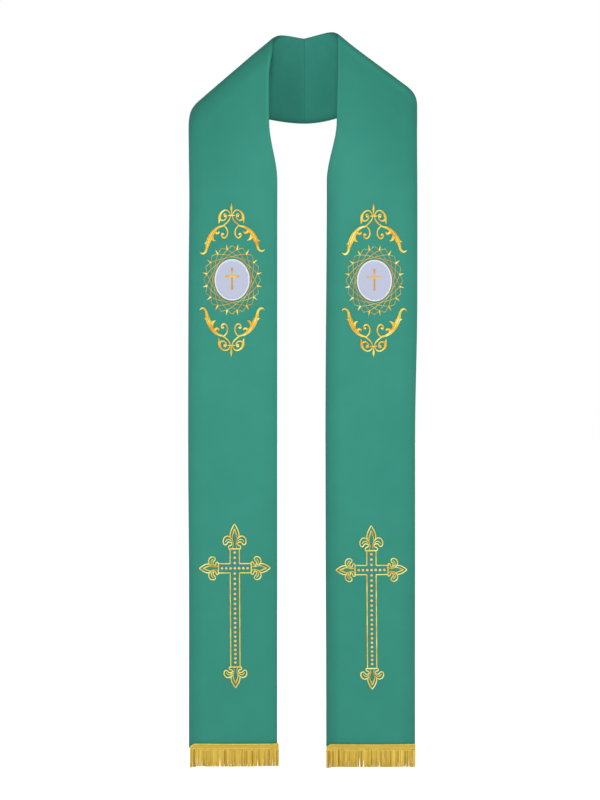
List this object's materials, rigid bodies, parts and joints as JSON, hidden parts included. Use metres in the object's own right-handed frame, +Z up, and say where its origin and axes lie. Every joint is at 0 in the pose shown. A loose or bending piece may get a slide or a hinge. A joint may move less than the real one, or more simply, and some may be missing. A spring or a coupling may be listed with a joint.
{
  "type": "clerical stole",
  "caption": "Worn clerical stole: long fringed cloth panels over sloping shoulders, joined behind the neck, with an oval medallion and a cross on each front.",
  "frame": {"origin": "middle of the neck opening, between the two shoulder rolls, level with the top of the left roll at its neck edge", "axes": "+X to the viewer's right, +Y from the fronts to the back, +Z up; the fronts face -Y"},
  "size_m": [0.3927, 0.1549, 1.2536],
  "materials": {
    "face_cloth": "smooth satin-backed weave, soft sheen",
    "lining_cloth": "plain fine weave, low sheen",
    "fringe_thread": "twisted rayon thread, silky",
    "white_thread": "satin stitch, silky",
    "gold_thread": "satin stitch, silky"
  },
  "bodies": {
    "root": {"panel_left": "face_cloth", "panel_right": "face_cloth", "lining_left": "lining_cloth", "lining_right": "lining_cloth", "fringe_left": "fringe_thread", "fringe_right": "fringe_thread", "medallion_left": "white_thread", "medallion_right": "white_thread", "cross_left": "gold_thread", "cross_right": "gold_thread"}
  },
  "joints": []
}
